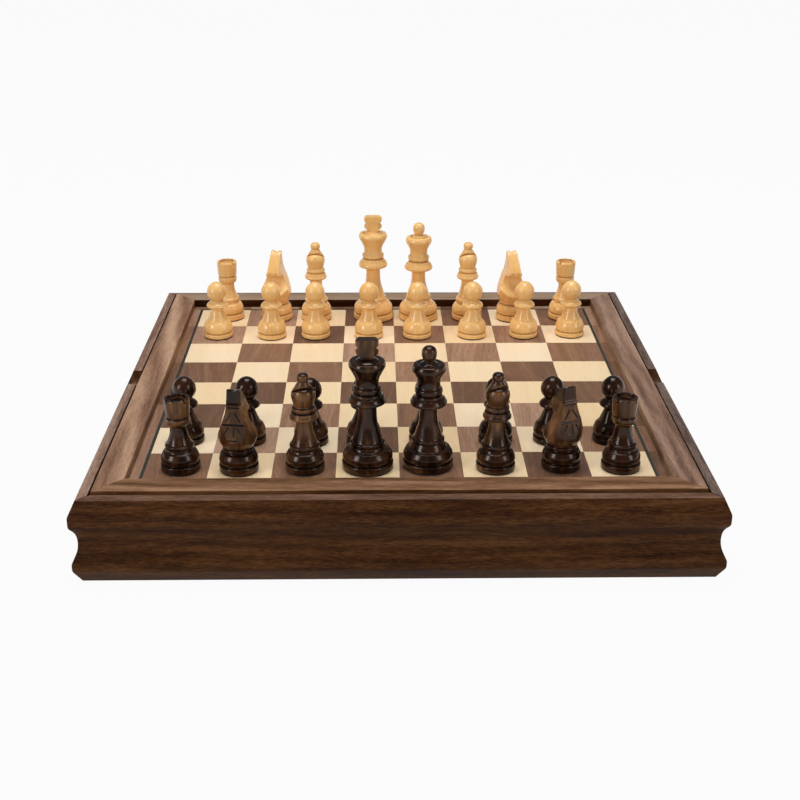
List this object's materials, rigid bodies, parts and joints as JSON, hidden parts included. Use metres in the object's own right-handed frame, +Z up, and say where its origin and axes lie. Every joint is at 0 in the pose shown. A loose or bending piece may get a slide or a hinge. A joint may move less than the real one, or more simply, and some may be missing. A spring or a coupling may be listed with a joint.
{
  "type": "chess box",
  "caption": "Square moulded wooden chess box: an inlaid board in a raised frame, a felt-lined drawer that slides out at each side, and turned chessmen set up on the board.",
  "frame": {"origin": "centre of the box's footprint, on the surface it stands on, at the underside of the felt pads", "axes": "+Z up, +X to the right as the dark player sits, +Y from the dark player to the light player; the drawers slide out along -X and +X"},
  "size_m": [0.3764, 0.3764, 0.131],
  "materials": {
    "walnut": "satin lacquer",
    "frame_walnut": "satin lacquer",
    "walnut_veneer": "satin lacquer",
    "maple_veneer": "satin lacquer",
    "black_veneer": "satin lacquer",
    "plywood": "bare",
    "drawer_wood": "matt lacquer",
    "green_felt": "felt",
    "black_felt": "felt",
    "boxwood": "polished",
    "stained_wood": "polished"
  },
  "bodies": {
    "case": {"front_wall": "walnut", "back_wall": "walnut", "base_panel": "plywood", "centre_partition": "plywood", "felt_pads": "black_felt", "board_core": "plywood", "board_frame_front": "frame_walnut", "board_frame_back": "frame_walnut", "board_frame_left": "frame_walnut", "board_frame_right": "frame_walnut", "light_squares": "maple_veneer", "dark_squares": "walnut_veneer", "inlay_lines": "black_veneer", "margin_strips": "walnut_veneer"},
    "left_drawer": {"left_drawer_front": "walnut", "left_drawer_sides": "drawer_wood", "left_drawer_back": "drawer_wood", "left_drawer_bottom": "plywood", "left_drawer_dividers": "drawer_wood", "left_drawer_felt": "green_felt"},
    "right_drawer": {"right_drawer_front": "walnut", "right_drawer_sides": "drawer_wood", "right_drawer_back": "drawer_wood", "right_drawer_bottom": "plywood", "right_drawer_dividers": "drawer_wood", "right_drawer_felt": "green_felt"},
    "light_king": {"light_king": "boxwood"},
    "light_queen": {"light_queen": "boxwood"},
    "light_bishop_left": {"light_bishop_left": "boxwood"},
    "light_bishop_right": {"light_bishop_right": "boxwood"},
    "light_knight_left": {"light_knight_left": "boxwood"},
    "light_knight_right": {"light_knight_right": "boxwood"},
    "light_rook_left": {"light_rook_left": "boxwood"},
    "light_rook_right": {"light_rook_right": "boxwood"},
    "light_pawns": {"light_pawns": "boxwood"},
    "dark_king": {"dark_king": "stained_wood"},
    "dark_queen": {"dark_queen": "stained_wood"},
    "dark_bishop_left": {"dark_bishop_left": "stained_wood"},
    "dark_bishop_right": {"dark_bishop_right": "stained_wood"},
    "dark_knight_left": {"dark_knight_left": "stained_wood"},
    "dark_knight_right": {"dark_knight_right": "stained_wood"},
    "dark_rook_left": {"dark_rook_left": "stained_wood"},
    "dark_rook_right": {"dark_rook_right": "stained_wood"},
    "dark_pawns": {"dark_pawns": "stained_wood"}
  },
  "joints": [
    {"name": "left_drawer_slide", "type": "slide", "parent": "case", "child": "left_drawer", "axis": [-1, 0, 0], "range_m": [0, 0.14]},
    {"name": "right_drawer_slide", "type": "slide", "parent": "case", "child": "right_drawer", "axis": [1, 0, 0], "range_m": [0, 0.14]},
    {"name": "light_king_lift", "type": "slide", "parent": "case", "child": "light_king", "axis": [0, 0, 1], "range_m": [0, 0.09]},
    {"name": "light_queen_lift", "type": "slide", "parent": "case", "child": "light_queen", "axis": [0, 0, 1], "range_m": [0, 0.09]},
    {"name": "light_bishop_left_lift", "type": "slide", "parent": "case", "child": "light_bishop_left", "axis": [0, 0, 1], "range_m": [0, 0.09]},
    {"name": "light_bishop_right_lift", "type": "slide", "parent": "case", "child": "light_bishop_right", "axis": [0, 0, 1], "range_m": [0, 0.09]},
    {"name": "light_knight_left_lift", "type": "slide", "parent": "case", "child": "light_knight_left", "axis": [0, 0, 1], "range_m": [0, 0.09]},
    {"name": "light_knight_right_lift", "type": "slide", "parent": "case", "child": "light_knight_right", "axis": [0, 0, 1], "range_m": [0, 0.09]},
    {"name": "light_rook_left_lift", "type": "slide", "parent": "case", "child": "light_rook_left", "axis": [0, 0, 1], "range_m": [0, 0.09]},
    {"name": "light_rook_right_lift", "type": "slide", "parent": "case", "child": "light_rook_right", "axis": [0, 0, 1], "range_m": [0, 0.09]},
    {"name": "light_pawns_lift", "type": "slide", "parent": "case", "child": "light_pawns", "axis": [0, 0, 1], "range_m": [0, 0.09]},
    {"name": "dark_king_lift", "type": "slide", "parent": "case", "child": "dark_king", "axis": [0, 0, 1], "range_m": [0, 0.09]},
    {"name": "dark_queen_lift", "type": "slide", "parent": "case", "child": "dark_queen", "axis": [0, 0, 1], "range_m": [0, 0.09]},
    {"name": "dark_bishop_left_lift", "type": "slide", "parent": "case", "child": "dark_bishop_left", "axis": [0, 0, 1], "range_m": [0, 0.09]},
    {"name": "dark_bishop_right_lift", "type": "slide", "parent": "case", "child": "dark_bishop_right", "axis": [0, 0, 1], "range_m": [0, 0.09]},
    {"name": "dark_knight_left_lift", "type": "slide", "parent": "case", "child": "dark_knight_left", "axis": [0, 0, 1], "range_m": [0, 0.09]},
    {"name": "dark_knight_right_lift", "type": "slide", "parent": "case", "child": "dark_knight_right", "axis": [0, 0, 1], "range_m": [0, 0.09]},
    {"name": "dark_rook_left_lift", "type": "slide", "parent": "case", "child": "dark_rook_left", "axis": [0, 0, 1], "range_m": [0, 0.09]},
    {"name": "dark_rook_right_lift", "type": "slide", "parent": "case", "child": "dark_rook_right", "axis": [0, 0, 1], "range_m": [0, 0.09]},
    {"name": "dark_pawns_lift", "type": "slide", "parent": "case", "child": "dark_pawns", "axis": [0, 0, 1], "range_m": [0, 0.09]}
  ]
}
